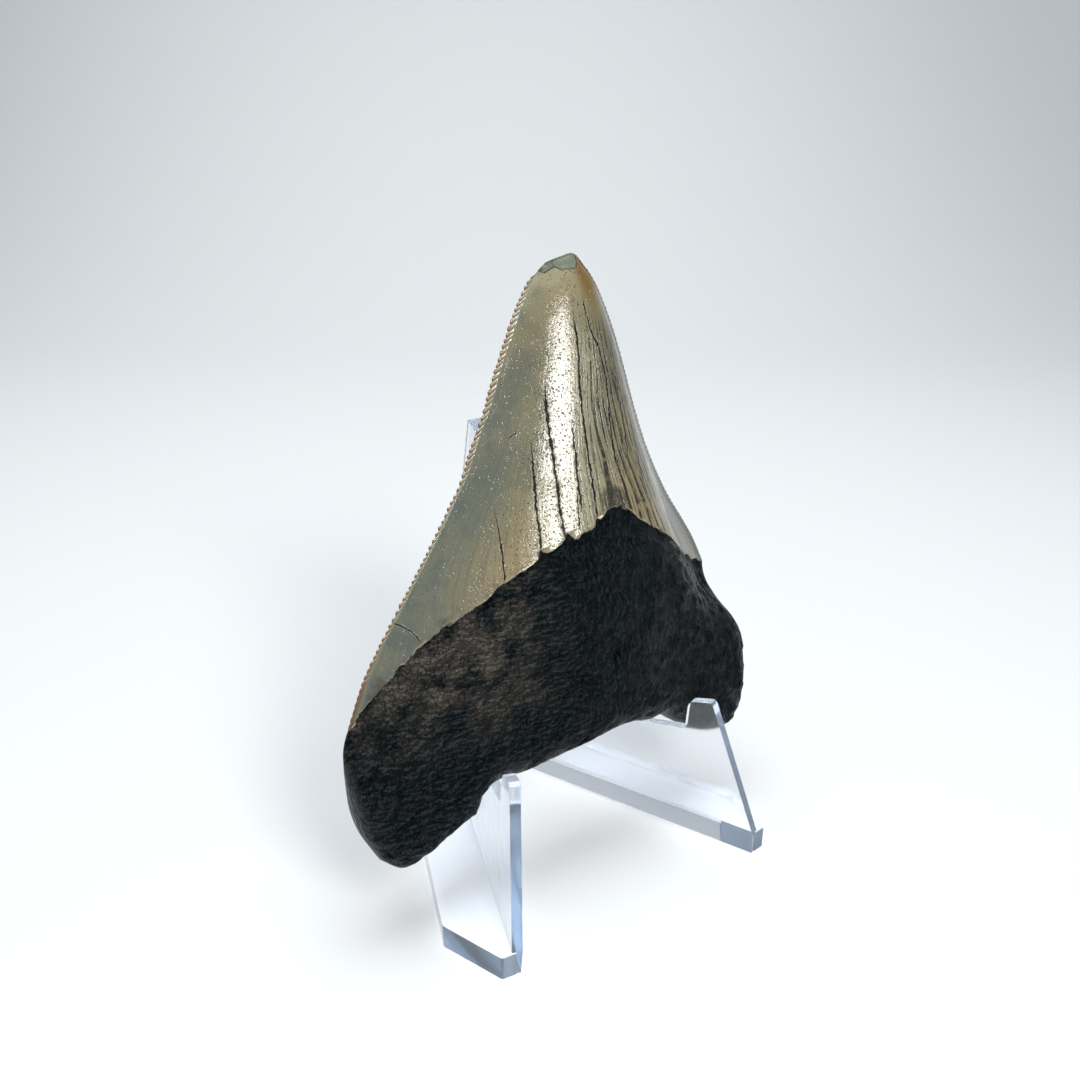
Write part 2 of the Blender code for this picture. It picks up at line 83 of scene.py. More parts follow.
# the dome's section from the left blade to the right one, as shares of the crown's width and of the crest
SECTION_AT = (0, 0.05, 0.1, 0.16, 0.22, 0.26, 0.3, 0.34, 0.38, 0.42, 0.46, 0.52, 0.6, 0.66, 0.72, 0.78,
              0.845, 0.92, 1)
SECTION = (0, 0.125, 0.246, 0.396, 0.544, 0.641, 0.724, 0.795, 0.857, 0.907, 0.946, 0.979, 0.998, 1,
           0.98, 0.89, 0.7, 0.37, 0)
SECTION_LOW = SECTION[:13] + (0.99, 0.93, 0.8, 0.56, 0.22, 0)
HOLLOW_V = 34.0              # the second section is reached halfway down from this height
TIP_ROUND = 3.0              # the dome's roundness at the tip
RIM_DEEPER = (4.0, 1.0)      # how much deeper the rim gets over the root's upper and lower half
# the root's depth behind and in front, each with the radius of its edge
ROOT_BACK, ROOT_BACK_ROLL = 5.8, 4.5
ROOT_FRONT, ROOT_FRONT_ROLL = 4.9, 4.0
# swellings of the root's front: height, middle u and v, reach in u and v
MIDDLE_SWELL = (3.6, 7.0, 9.0, 11.5, 13.0)
LEFT_SWELL = (0.9, -20.0, 0.0, 9.0, math.inf)
CORNER_SWELL = (0.9, -18.0, -5.0, 6.0, 4.0)

# ---- fine mesh ---------------------------------------------------------------------------------------
SERRATIONS = 72              # along each blade
ROWS_PER_SERRATION = 5
BEAD = (0.0, 0.72, 1.0, 0.97, 0.66)      # a serration's outline over its rows
BEAD_H = 0.34                # how far a serration stands out from the left blade
RIGHT_BEAD_SHARE = 0.4       # how much of that the right blade's serrations have
BEAD_FADE = 1.1              # how far in from the blade a serration reaches
BEAD_RIDGE = 0.24            # height of the ridge behind each serration
COLS = 140                   # faces across the front; the back has half as many
ROOT_ROWS = 64
ENAMEL_STEP = 0.45           # height of the enamel's edge over the root

# ---- marks on the tooth, mm (u, v) -------------------------------------------------------------------
# each crack: points down its length, its width, how far it wanders
CRACKS = [
    ([(13.5, 57.2), (12.8, 52.0), (13.4, 48.6), (13.5, 46.2), (13.2, 42.3), (12.4, 38.5), (11.6, 32.5)],
     0.15, 0.25),
    ([(10.9, 54.6), (10.3, 49.7), (9.1, 44.3), (8.1, 37.9), (7.4, 32.8), (6.3, 26.4)], 0.17, 0.20),
    ([(4.8, 45.6), (3.4, 39.0), (2.7, 33.7), (1.6, 28.6), (1.0, 24.6)], 0.21, 0.20),
    ([(1.1, 38.6), (-0.2, 32.8), (-1.4, 28.3), (-2.4, 23.2)], 0.17, 0.20),
    ([(-5.7, 30.6), (-6.4, 26.5), (-7.9, 20.6)], 0.10, 0.15),
    ([(6.7, 40.0), (5.6, 33.8), (4.3, 27.6)], 0.17, 0.30),
    ([(15.6, 50.0), (15.2, 42.0), (13.6, 31.5)], 0.11, 0.40),
    ([(17.0, 43.0), (16.2, 34.0), (15.6, 27.0)], 0.10, 0.40),
    ([(4.6, 30.6), (3.2, 25.4)], 0.12, 0.20),
    ([(11.5, 61.8), (11.0, 60.5), (11.2, 59.9), (12.0, 59.3)], 0.10, 0.05),
    ([(-23.2, 19.6), (-22.0, 18.5), (-20.4, 17.2), (-19.7, 16.4), (-19.2, 15.0)], 0.14, 0.10),
    ([(-0.2, 39.3), (-1.6, 38.6)], 0.16, 0.05),
]
# notches in the enamel's border: u, height, width; the last one lowers the border's highest point
NOTCHES = [(1.4, 1.4, 0.5), (-2.3, 0.9, 0.4), (6.4, 0.7, 0.35), (3.4, 0.5, 0.35), (9.9, -1.15, 1.4)]
# where the dome's right flank breaks into the wing: v, share of the crown's width
CREASE = [(18.0, 0.76), (21.5, 0.80), (25.8, 0.90), (30.0, 0.925), (60.0, 0.93)]
CHIP_BORDER = [(7.0, 62.5), (8.3, 60.1), (9.3, 59.4), (10.0, 59.7), (10.6, 60.0), (11.1, 60.1), (11.7, 59.6),
               (12.7, 59.5), (13.8, 59.6), (14.4, 60.4), (15.2, 62.5)]
CHIP_DEPTH = 0.35
FORAMEN = (4.4, 8.2)
FORAMEN_SIZE = (0.5, 0.95)
FORAMEN_DEPTH = 1.1
SMALL_PITS = [(24.2, 1.6, 0.7), (18.5, 2.2, 0.55), (-6.5, 3.0, 0.4), (12.2, 12.4, 0.45)]     # u, v, size
HALO_AT = (9.7, 28.4)        # middle and reach of the dark stain over the border's highest point
HALO_REACH = (2.6, 2.3)
FAR_OFF = 9.0                # stands for no crack near, in crack widths
# how noise is stretched for the root's grain and for its ridges on the left and on the right
GRAIN_STRETCH = (1.0, 0.65, 1.0)
RIDGES_LYING = (0.8, 1.6, 1.0)
RIDGES_STANDING = (1.5, 0.7, 1.0)
PAINTED_LIGHT_SHIFT = (0.16, -0.24, 0.0)          # painted highlight: the ridges are painted paler where they fall away this way

# ---- the stand, mm and degrees -----------------------------------------------------------------------
STAND_MERGE = 0.12           # the solid's points closer than this become one
STAND_FLAT = 0.6             # faces that meet flatter than this become one
STAND_SHARP = 14.0           # edges sharper than this are rounded
STAND_ROUND = 0.16
PLASTIC_IOR = 1.57
PLASTIC_TINT = (0.93, 0.945, 0.975)
PLASTIC_DEPTH = (0.60, 0.70, 0.80)       # what passes through much of it
PLASTIC_DENSITY = 28.0


# ---- curves and grids --------------------------------------------------------------------------------
def smooth_curve(points, where):
    """Points along a smooth curve through the given ones, at the given fractions of its length."""
    pts = [np.array(p, float) for p in points]
    padded = [2 * pts[0] - pts[1]] + pts + [2 * pts[-1] - pts[-2]]
    dense = []
    for index in range(1, len(padded) - 2):
        a, b, c, d = padded[index - 1:index + 3]
        for step in range(24):
            t = step / 24
            dense.append(0.5 * (2 * b + (c - a) * t + (2 * a - 5 * b + 4 * c - d) * t * t
                                + (3 * b - a - 3 * c + d) * t ** 3))
    dense.append(pts[-1])
    dense = np.array(dense)
    length = np.concatenate([[0.0], np.cumsum(np.linalg.norm(np.diff(dense, axis=0), axis=1))])
    wanted = length[-1] * np.asarray(where)
    return np.stack([np.interp(wanted, length, dense[:, 0]), np.interp(wanted, length, dense[:, 1])], 1)


def coons(bottom, top, left, right, across, up):
    """A grid of plane points between four boundary curves."""
    s = across[None, :, None]
    r = up[:, None, None]
    ruled_up = (1 - r) * bottom[None] + r * top[None]
    ruled_across = (1 - s) * left[:, None] + s * right[:, None]
    corners = ((1 - s) * (1 - r) * bottom[0] + s * (1 - r) * bottom[-1]
               + (1 - s) * r * top[0] + s * r * top[-1])
    return ruled_up + ruled_across - corners


def smoothstep(x):
    """A smooth ramp from 0 to 1."""
    x = np.clip(x, 0.0, 1.0)
    return x * x * (3 - 2 * x)


def distance_to(points, line):
    """Each point's distance to a polyline."""
    best = np.full(points.shape[:-1], 1e9)
    for a, b in zip(line[:-1], line[1:]):
        edge = b - a
        if edge @ edge == 0:
            continue
        t = np.clip(((points - a) @ edge) / (edge @ edge), 0.0, 1.0)
        best = np.minimum(best, np.linalg.norm(points - a - t[..., None] * edge, axis=-1))
    return best


def noise_field(points, scale, seed, stretch=(1.0, 1.0, 1.0)):
    """Smooth noise, about -0.5 to 0.5, at every point of an array."""
    flat = points.reshape(-1, 3) * scale * np.array(stretch) + seed * 17.3
    values = [noise.noise(Vector(p)) for p in flat]
    return np.array(values).reshape(points.shape[:-1])


def rim_height(below):
    """How far the rim stands in front of the labial plane: thin at the blade, deeper round the root."""
    upper, lower = RIM_DEEPER
    return BLADE_W + upper * smoothstep(below / 0.5) + lower * smoothstep((below - 0.5) / 0.5)


def crown_share(plane):
    """How far across the crown each point lies at its own level, and the crown's width there."""
    left, right = (smooth_curve(blade, np.linspace(0, 1, 200)) for blade in (LEFT_BLADE, RIGHT_BLADE))
    left_u = np.interp(plane[..., 1], left[:, 1], left[:, 0])
    width = np.interp(plane[..., 1], right[:, 1], right[:, 0]) - left_u
    return np.clip((plane[..., 0] - left_u) / width, 0, 1), width


def crown_height(side, across, plane, rise):
    """The crown's swell above the rim: a leaning dome in front, nearly flat behind."""
    if side == "back":
        b = 2 * across[None, :] - 1
        return -BLADE_W * (1 - b ** 2) * (1 - 0.5 * rise[:, None])
    share, width = crown_share(plane)
    full, hollow = (smooth_curve(list(zip(SECTION_AT, heights)), np.linspace(0, 1, 300))
                    for heights in (SECTION, SECTION_LOW))
    low = smoothstep((HOLLOW_V - plane[..., 1]) / HOLLOW_V * 2)
    nose = 1 - np.clip(distance_to(plane, smooth_curve(TIP, np.linspace(0, 1, 20))) / TIP_ROUND, 0, 1)
    section = (np.interp(share, full[:, 0], full[:, 1]) * (1 - low)
               + np.interp(share, hollow[:, 0], hollow[:, 1]) * low)
    return CREST * width * section * np.sqrt(1 - nose ** 2)


def rolled(deep, radius):
    """A rounded edge: 0 on the rim, 1 from the radius inwards."""
    return np.sqrt(np.clip(1 - (1 - np.clip(deep / radius, 0, 1)) ** 2, 0, 1))


def mound(plane, shape):
    """A smooth mound of a height, with its middle and its reach in u and v."""
    high, at_u, at_v, reach_u, reach_v = shape
    return high * np.exp(-((plane[..., 0] - at_u) / reach_u) ** 2 - ((plane[..., 1] - at_v) / reach_v) ** 2)


def root_height(side, plane, deep):
    """The root's depth from its rim: rounded all round, with a swelling in the middle of the front."""
    u, v = plane[..., 0], plane[..., 1]
    if side == "back":
        return -(ROOT_BACK + 0.15 * np.sin(u * 0.21)) * rolled(deep, ROOT_BACK_ROLL)
    lobes = ROOT_FRONT + mound(plane, LEFT_SWELL) + 0.05 * (v + 5)
    return (lobes + mound(plane, MIDDLE_SWELL) + mound(plane, CORNER_SWELL)) * rolled(deep, ROOT_FRONT_ROLL)


def serration_rows():
    """Fractions up the blade of every crown row, and each row's outline and size, a little uneven."""
    lengths = [1.0 + random.uniform(-0.16, 0.16) for _ in range(SERRATIONS + 2)]
    starts = np.concatenate([[0.0], np.cumsum(lengths)])
    starts /= starts[-1]
    up, bead = [], []
    for index in range(SERRATIONS + 2):
        worn = min(1.0, 0.35 + index / 26) * random.uniform(0.72, 1.12)
        if index >= SERRATIONS:
            worn = 0.0
        for step in range(ROWS_PER_SERRATION):
            up.append(starts[index] + (starts[index + 1] - starts[index]) * step / ROWS_PER_SERRATION)
            bead.append(BEAD[step] * worn)
    return np.array(up + [1.0]), np.array(bead + [0.0])


def tooth_plane(side, across, root_up, crown_up):
    """The (u, v) grid of one face, its root rows first, and the line between root and enamel."""
    line = smooth_curve(CHEVRON if side == "front" else LABIAL_LINE, across)
    root = coons(smooth_curve(BASE, across), line, smooth_curve(LEFT_ROOT, root_up),
                 smooth_curve(RIGHT_ROOT, root_up), across, root_up)
    crown = coons(line, smooth_curve(TIP, across), smooth_curve(LEFT_BLADE, crown_up),
                  smooth_curve(RIGHT_BLADE, crown_up), across, crown_up)
    return np.concatenate([root, crown[1:]]), line


def plain_height(side, across, plane, rise, below):
    """The face's height before its relief: the crown's swell run into the root's depth."""
    rim = np.vstack([smooth_curve(LEFT_ROOT[::-1], np.linspace(0, 1, 30)),
                     smooth_curve(BASE, np.linspace(0, 1, 60)),
                     smooth_curve(RIGHT_ROOT, np.linspace(0, 1, 30))])
    blend = smoothstep(below / 0.55)[:, None]
    w = (crown_height(side, across, plane, rise) * (1 - blend)
         + root_height(side, plane, distance_to(plane, rim)) * blend)
    w[:, 0] = w[:, -1] = 0
    w[0] = 0
    return w + rim_height(below)[:, None]


def away_from_rim(across, rows):
    """0 on the face's rim, 1 a few rows and columns inside it."""
    row = np.arange(rows)[:, None]
    return smoothstep(np.minimum.reduce([
        row / 5 + 0 * across[None, :],
        np.minimum(across, 1 - across)[None, :] * 40 + 0 * row,
        (rows - 1 - row) / 4 + 0 * across[None, :]]))


def above_root(side, across, points, line, inner, root_rows):
    """How far each point lies above the enamel's ragged border, in mm."""
    u, v = points[..., 0], points[..., 1]
    ragged = 0.40 * noise_field(points, 0.55, 3) + 0.30 * noise_field(points, 1.7, 4)
    if side == "front":
        for at, high, wide in NOTCHES:
            ragged -= high * np.exp(-((u - at) / wide) ** 2)
    enamel = v - np.interp(u, line[:, 0], line[:, 1]) + ragged * inner
    on_rim = np.where(np.arange(len(points))[:, None] >= root_rows - 1, 3.0, -0.5)
    return np.where(np.abs(across[None, :] - 0.5) > 0.49, on_rim, enamel)


def face_relief(side, points, plane, fan, rise, enamel):
    """The face's fine relief in mm, and how far each point lies in the chip and in the wing."""
    thickness = ENAMEL_STEP * (smoothstep((enamel + 0.15) / 0.3) - 1.0)
    lumps = 0.45 if side == "front" else 0.2
    rough = (lumps * (noise_field(points, 0.22, 0) + 0.6 * noise_field(points, 0.55, 1))
             + 0.42 * noise_field(points, 0.9, 2, (1.0, 0.7, 1.0)) + 0.22 * noise_field(points, 2.0, 5))
    is_root = 1 - smoothstep((enamel + 0.3) / 0.3)
    flutes = 0.03 * noise_field(fan, 1.0, 6, (7.0, 0.8, 3.0))
    mid_crown = (smoothstep(rise * 8) * smoothstep((1 - rise) * 4))[:, None]
    relief = is_root * rough + (1 - is_root) * flutes * mid_crown
    if side == "back":
        return relief + 0.6 * thickness, np.zeros_like(enamel), np.full_like(enamel, -1.0)
    relief += thickness
    relief -= pits(plane)
    chip = smoothstep((plane[..., 1] - chip_border(plane[..., 0])) / 0.35)
    relief -= CHIP_DEPTH * chip
    share, _ = crown_share(plane)
    crease = np.array(CREASE)
    wing = share - np.interp(plane[..., 1], crease[:, 0], crease[:, 1])
    relief += (1 - is_root) * (0.10 * np.exp(-(wing / 0.012) ** 2) - 0.30 * smoothstep(wing / 0.03))
    return relief, chip, wing


def serrate(points, plane, outline, sign, inner):
    """Push the serrations out of both blades, each with a ridge behind it; gives the distance to the rim."""
    gaps = [np.linalg.norm(plane - plane[:, column], axis=2) for column in (slice(0, 1), slice(-1, None))]
    for col, flip, near, size in ((0, 1.0, gaps[0], BEAD_H), (-1, -1.0, gaps[1], RIGHT_BEAD_SHARE * BEAD_H)):
        run = np.gradient(plane[:, col], axis=0)
        out = np.stack([-run[:, 1], run[:, 0]], 1) * flip
        out /= np.linalg.norm(out, axis=1)[:, None]
        fade = np.clip(1 - near / BEAD_FADE, 0, 1) ** 2
        points[..., :2] += (size * outline * fade)[..., None] * out[:, None]
    edge = np.minimum(*gaps)
    ridge = np.exp(-((edge - 0.6) / 0.55) ** 2) * inner
    points[..., 2] += sign * BEAD_RIDGE * (outline - 0.45 * (outline > 0)) * ridge
    return edge


def tooth_surface(side, across, root_up, crown_up, bead):
    """One face of the tooth: its (u, v, w) points and the fields that its material reads."""
    plane, line = tooth_plane(side, across, root_up, crown_up)
    rise = np.concatenate([np.zeros(len(root_up)), crown_up[1:]])
    below = np.concatenate([1 - root_up, np.zeros(len(crown_up) - 1)])
    w = plain_height(side, across, plane, rise, below)
    points = np.concatenate([plane, w[..., None]], axis=2)
    inner = away_from_rim(across, len(plane))
    enamel = above_root(side, across, points, line, inner, len(root_up))
    sign = 1.0 if side == "front" else -1.0
    face = np.full(w.shape, sign)
    fan = np.stack([np.broadcast_to(2 * across - 1, w.shape), np.broadcast_to(rise[:, None], w.shape),
                    face], axis=2)
    relief, chip, wing = face_relief(side, points, plane, fan, rise, enamel)
    points[..., 2] += sign * relief * inner
    outline = np.concatenate([np.zeros(len(root_up) - 1), bead])[:, None]
    edge = serrate(points, plane, outline, sign, inner)
    fields = {"enamel": enamel, "edge": edge, "bead": np.broadcast_to(outline, w.shape), "chip": chip,
              "fan": fan, "wing": wing, "face": face, "place": points.copy()}
    return points, fields


def chip_border(u):
    """Height of the chipped facet's lower border at the tip."""
    border = np.array(CHIP_BORDER)
    return np.interp(u, border[:, 0], border[:, 1])


def pits(plane):
    """Depth of the foramen and the few pits in the root."""
    u = plane[..., 0]
    v = plane[..., 1]
    depth = FORAMEN_DEPTH * np.exp(-(((u - FORAMEN[0]) / FORAMEN_SIZE[0]) ** 2
                                     + ((v - FORAMEN[1]) / FORAMEN_SIZE[1]) ** 2) ** 1.5)
    for at_u, at_v, size in SMALL_PITS:
        depth += 0.6 * size * np.exp(-(((u - at_u) / size) ** 2 + ((v - at_v) / size) ** 2) ** 1.5)
    return depth


def to_world(points):
    """From the tooth's own plane to metres in the part's frame."""
    lean = math.radians(TOOTH_LEAN)
    u, v, w = points[..., 0], points[..., 1], points[..., 2]
    y = TOOTH_FOOT[0] + v * math.sin(lean) - w * math.cos(lean) + FRONT_Y
    z = TOOTH_FOOT[1] + v * math.cos(lean) + w * math.sin(lean)
    return np.stack([u, y, z], axis=-1) * MM


def dense_at_ends(count, share):
    """Fractions from 0 to 1 that lie closer together at both ends."""
    even = np.linspace(0, 1, count + 1)
    return (1 - share) * even + share * (1 - np.cos(np.pi * even)) / 2


def make_tooth():
    """The fine mesh of the whole tooth, with the fields for its material."""
    across = dense_at_ends(COLS, 0.65)
    root_up = dense_at_ends(ROOT_ROWS, 0.6)
    crown_up, bead = serration_rows()
    front, front_fields = tooth_surface("front", across, root_up, crown_up, bead)
    back, back_fields = tooth_surface("back", across[::2], root_up, crown_up, bead)
    rows = len(front)
    half = COLS // 2

    front_index = np.arange(rows * (COLS + 1)).reshape(rows, COLS + 1)
    back_index = np.full((rows, half + 1), -1)
    back_index[:, 0] = front_index[:, 0]
    back_index[:, -1] = front_index[:, -1]
    back_index[0] = front_index[0, ::2]
    back_index[-1] = front_index[-1, ::2]
    own = back_index < 0
    back_index[own] = rows * (COLS + 1) + np.arange(own.sum())

    faces = []
    for row in range(rows - 1):
        for col in range(COLS):
            faces.append((front_index[row, col], front_index[row, col + 1],
                          front_index[row + 1, col + 1], front_index[row + 1, col]))
    for row in range(rows - 1):
        for col in range(half):
            ring = [back_index[row, col], back_index[row + 1, col],
                    back_index[row + 1, col + 1], back_index[row, col + 1]]
            if row == 0:
                ring.append(front_index[0, 2 * col + 1])
            if row == rows - 2:
                ring.insert(2, front_index[-1, 2 * col + 1])
            faces.append(tuple(ring))
    vertices = np.concatenate([to_world(front).reshape(-1, 3), to_world(back)[own]])
    mesh = bpy.data.meshes.new("tooth_crown_and_root")
    mesh.from_pydata(vertices.tolist(), [], [tuple(int(i) for i in face) for face in faces])
    for name, field in front_fields.items():
        values = np.concatenate([field.reshape(-1, *field.shape[2:]), back_fields[name][own]])
        vector = values.ndim == 2
        made = mesh.attributes.new(name, "FLOAT_VECTOR" if vector else "FLOAT", "POINT")
        made.data.foreach_set("vector" if vector else "value", values.astype(np.float32).ravel())
    mesh.validate()
    mesh.shade_smooth()
    mesh.set_sharp_from_angle(angle=math.radians(50))
    tooth = bpy.data.objects.new("tooth_crown_and_root", mesh)
    bpy.context.scene.collection.objects.link(tooth)
    return tooth


# ---- the stand ---------------------------------------------------------------------------------------
def make_stand(node):
    """The moulded stand: its solid's mesh with its sharp edges rounded."""
    shape = bmesh.new()
    shape.from_mesh(node.data)
    bmesh.ops.remove_doubles(shape, verts=shape.verts, dist=STAND_MERGE * MM)
    bmesh.ops.dissolve_limit(shape, angle_limit=math.radians(STAND_FLAT), verts=shape.verts,
                             edges=shape.edges)
    sharp = [edge for edge in shape.edges if edge.calc_face_angle() > math.radians(STAND_SHARP)]
    bmesh.ops.bevel(shape, geom=sharp, offset=STAND_ROUND * MM, offset_type="OFFSET", segments=3,
                    profile=0.5, affect="EDGES", clamp_overlap=True, harden_normals=False)
    bmesh.ops.triangulate(shape, faces=shape.faces)
    mesh = bpy.data.meshes.new("stand_moulding")
    shape.to_mesh(mesh)
    shape.free()
    mesh.shade_smooth()
    stand = bpy.data.objects.new("stand_moulding", mesh)
    bpy.context.scene.collection.objects.link(stand)
    weighted = stand.modifiers.new("Weighted", "WEIGHTED_NORMAL")
    weighted.mode = "FACE_AREA"
    weighted.weight = 100
    flat_faces = bpy.data.meshes.new_from_object(stand.evaluated_get(bpy.context.evaluated_depsgraph_get()))
    stand.modifiers.clear()
    stand.data = flat_faces
    stand.visible_shadow = False             # light passes the clear plastic on its way to the floor
    return stand


# ---- materials ---------------------------------------------------------------------------------------
class Graph:
    """A material's nodes, added by short calls. A value is a number, a colour or a node's output."""

    def __init__(self, name):
        self.material = bpy.data.materials.new(name)
        self.material.use_nodes = True
        self.tree = self.material.node_tree
        self.tree.nodes.clear()

    def feed(self, socket, value):
        """Link an output to an input, or set the input's own value."""
        if isinstance(value, bpy.types.NodeSocket):
            self.tree.links.new(value, socket)
        else:
            socket.default_value = value

    def add(self, kind, inputs, **properties):
        """A node with its properties set and its inputs fed, by name or number."""
        node = self.tree.nodes.new("ShaderNode" + kind)
        for key, value in properties.items():
            setattr(node, key, value)
        for key, value in inputs.items():
            self.feed(node.inputs[key], value)
        return node

    def math(self, operation, a, b=0.0, c=0.0):
        """A number worked out from others."""
        return self.add("Math", {0: a, 1: b, 2: c}, operation=operation).outputs[0]

    def ramp(self, value, low, high, start=0.0, end=1.0):
        """A smooth ramp from start to end while the value goes from low to high."""
        inputs = {"Value": value, "From Min": low, "From Max": high, "To Min": start, "To Max": end}
        return self.add("MapRange", inputs, interpolation_type="SMOOTHSTEP").outputs["Result"]

    def mix(self, factor, a, b, blend_type="MIX"):
        """A mix of two colours."""
        a, b = ((*x, 1.0) if isinstance(x, tuple) else x for x in (a, b))
        return self.add("Mix", {0: factor, 6: a, 7: b}, data_type="RGBA", blend_type=blend_type).outputs[2]

    def product(self, first, *others):
        """Numbers multiplied together."""
        for other in others:
            first = self.math("MULTIPLY", first, other)
        return first

    def tint(self, colour, mask, strength, target):
        """A colour turned towards another where a mask says so."""
        return self.mix(self.math("MULTIPLY", mask, strength), colour, target)

    def blend(self, factor, a, b):
        """A number between two others."""
        return self.add("Mix", {0: factor, 2: a, 3: b}, data_type="FLOAT").outputs[0]

    def lift(self, height, mask, amount):
        """A height with an amount added where a mask says so."""
        return self.math("MULTIPLY_ADD", mask, amount, height)

    def stretch(self, vector, factors):
        """A vector times three factors."""
        return self.add("VectorMath", {0: vector, 1: factors}, operation="MULTIPLY").outputs[0]

    def noise(self, vector, scale, detail=2.0, roughness=0.5):
        """Fractal noise about 0.5."""
        inputs = {"Vector": vector, "Scale": scale, "Detail": detail, "Roughness": roughness}
        return self.add("TexNoise", inputs).outputs[0]

    def cells(self, vector, scale):
        """Distance to the nearest of scattered points."""
        return self.add("TexVoronoi", {"Vector": vector, "Scale": scale}).outputs["Distance"]

    def curve(self, value, points):
        """A number read off a curve through points, over the points' own range."""
        points = sorted(points)
        low, high = points[0][0], points[-1][0]
        base = min(point[1] for point in points)
        span = max(point[1] for point in points) - base
        share = self.math("DIVIDE", self.math("SUBTRACT", value, low), high - low)
        node = self.add("FloatCurve", {"Value": share})
        line = node.mapping.curves[0]
        for item, point in zip(line.points, (points[0], points[-1])):
            item.location = ((point[0] - low) / (high - low), (point[1] - base) / span)
        for x, y in points[1:-1]:
            line.points.new((x - low) / (high - low), (y - base) / span)
        node.mapping.update()
        return self.math("MULTIPLY_ADD", node.outputs[0], span, base)

    def attribute(self, name):
        """A field kept in the mesh."""
        return self.add("Attribute", {}, attribute_name=name)

    def bump(self, height, distance):
        """A normal from a height, which at 1 stands this many millimetres high."""
        inputs = {"Height": height, "Distance": distance * MM, "Strength": 1.0}
        return self.add("Bump", inputs).outputs["Normal"]

    def finish(self, surface, volume=None):
        """Join the shader to the output and return the material."""
        output = self.tree.nodes.new("ShaderNodeOutputMaterial")
        self.tree.links.new(surface.outputs[0], output.inputs["Surface"])
        if volume is not None:
            self.tree.links.new(volume.outputs[0], output.inputs["Volume"])
        return self.material


def crack_gap(graph, uv, wander, bead, crack):
    """Distance from a crack in units of its width there, which swells and narrows, and far off its ends."""
    points, width, swing = crack
    u, v = uv
    top, end = points[0][1], points[-1][1]
    line = graph.curve(v, [(at_v, at_u) for at_u, at_v in points])
    off = graph.math("SUBTRACT", graph.math("SUBTRACT", u, line), graph.math("MULTIPLY", wander, swing * 3))
    long = top - end
    within = graph.math("MULTIPLY", graph.ramp(v, end - 0.1, end + min(0.8, long / 4)),
                        graph.ramp(v, top, top - min(4.0, long / 3)))
    reach = graph.math("MULTIPLY", graph.math("MULTIPLY", within, width), bead)
    return graph.math("DIVIDE", graph.math("ABSOLUTE", off), graph.math("MAXIMUM", reach, 0.0005))


def fine_lines(graph, spread, v, count, seed):
    """Many thin upright lines that spread with the crown, each broken along its length."""
    bend_place = graph.add("CombineXYZ", {
        0: graph.math("MULTIPLY", spread, 5.0), 1: graph.math("MULTIPLY", v, 0.045), 2: seed}).outputs[0]
    bend = graph.math("SUBTRACT", graph.noise(bend_place, 1.0, 3.0, 0.6), 0.5)
    position = graph.math("MULTIPLY_ADD", spread, count, graph.math("MULTIPLY", bend, 2.6))
    cell = graph.math("FLOOR", position)
    centre = graph.math("ABSOLUTE", graph.math("SUBTRACT", graph.math("FRACT", position), 0.5))
    along = graph.add("CombineXYZ", {
        0: graph.math("MULTIPLY", cell, 7.31), 1: graph.math("MULTIPLY", v, 0.22), 2: seed + 3.0}).outputs[0]
    strength = graph.noise(along, 1.0, 3.0, 0.6)
    return graph.math("MULTIPLY", graph.ramp(centre, 0.24, 0.08), graph.ramp(strength, 0.38, 0.52))


def tooth_fields(graph):
    """What the tooth's mesh says at each point, and the masks that several of its marks read."""
    place = graph.attribute("place").outputs["Vector"]
    uvw = graph.add("SeparateXYZ", {0: place})
    fan = graph.add("SeparateXYZ", {0: graph.attribute("fan").outputs["Vector"]})
    at = SimpleNamespace(place=place, u=uvw.outputs["X"], v=uvw.outputs["Y"], spread=fan.outputs["X"])
    for name in ("edge", "bead", "chip", "wing"):
        setattr(at, name, graph.attribute(name).outputs["Fac"])
    at.border = graph.attribute("enamel").outputs["Fac"]
    at.front = graph.ramp(graph.attribute("face").outputs["Fac"], -0.2, 0.2)
    crumb = graph.math("SUBTRACT", graph.noise(place, 2.4, 3.0, 0.6), 0.5)
    at.enamel = graph.ramp(graph.math("MULTIPLY_ADD", crumb, 0.5, at.border), -0.06, 0.06)
    at.grit = graph.noise(place, 2.6, 3.0, 0.65)
    return at


